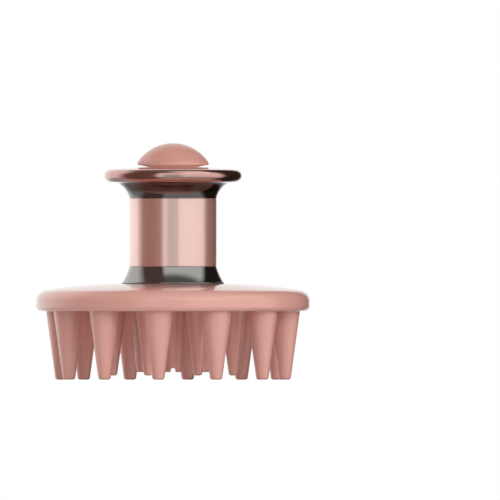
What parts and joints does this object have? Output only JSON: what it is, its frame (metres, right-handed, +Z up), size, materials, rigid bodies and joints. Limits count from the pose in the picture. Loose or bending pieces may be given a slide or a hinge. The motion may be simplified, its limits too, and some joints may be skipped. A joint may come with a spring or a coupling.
{
  "type": "scalp applicator brush",
  "caption": "Round scalp brush with tapered bristles, hollow dispensing tubes and a short flanged handle whose domed push button opens a valve under the reservoir.",
  "frame": {"origin": "on the brush's own axis, in the plane of the outer bristle tips that it stands on", "axes": "+Z up along the handle towards the button, +X through a bristle of each ring"},
  "size_m": [0.08, 0.08, 0.0691],
  "materials": {
    "pink_plastic": "satin moulded",
    "pink_silicone": "satin silicone",
    "dark_chrome": "polished dark chrome",
    "rose_metal": "polished rose anodised",
    "white_plastic": "moulded",
    "seal_rubber": "matte",
    "spring_steel": "drawn wire"
  },
  "bodies": {
    "brush": {"head_shell": "pink_plastic", "face_plate": "pink_plastic", "outer_bristles": "pink_silicone", "middle_bristles": "pink_silicone", "nozzle_cluster": "pink_silicone", "manifold_gasket": "seal_rubber", "lock_nut": "white_plastic", "base_collar": "dark_chrome", "barrel_sleeve": "rose_metal", "reservoir": "white_plastic", "valve_seat": "white_plastic", "valve_spring": "spring_steel", "cap_gasket": "seal_rubber"},
    "cap": {"top_cap": "dark_chrome", "cap_insert": "white_plastic", "stem_seal": "seal_rubber", "guide_bush": "white_plastic", "button_spring": "spring_steel"},
    "button": {"button_dome": "pink_silicone", "button_plunger": "white_plastic", "stem_clip": "spring_steel"},
    "valve": {"valve_rod": "white_plastic", "valve_disc": "seal_rubber", "rod_collar": "white_plastic"}
  },
  "joints": [
    {"name": "cap_lift", "type": "slide", "parent": "brush", "child": "cap", "axis": [0, 0, 1], "range_m": [0, 0.02]},
    {"name": "button_press", "type": "slide", "parent": "cap", "child": "button", "axis": [0, 0, -1], "range_m": [0, 0.0025], "stiffness_N_per_m": 600, "springref_m": -0.004, "deforming": ["button_spring"]},
    {"name": "valve_open", "type": "slide", "parent": "brush", "child": "valve", "axis": [0, 0, -1], "range_m": [0, 0.0025], "stiffness_N_per_m": 250, "springref_m": -0.004, "deforming": ["valve_spring"]}
  ],
  "couplings": [
    {"joint": "valve_open", "follows": "button_press", "ratio": 1}
  ]
}
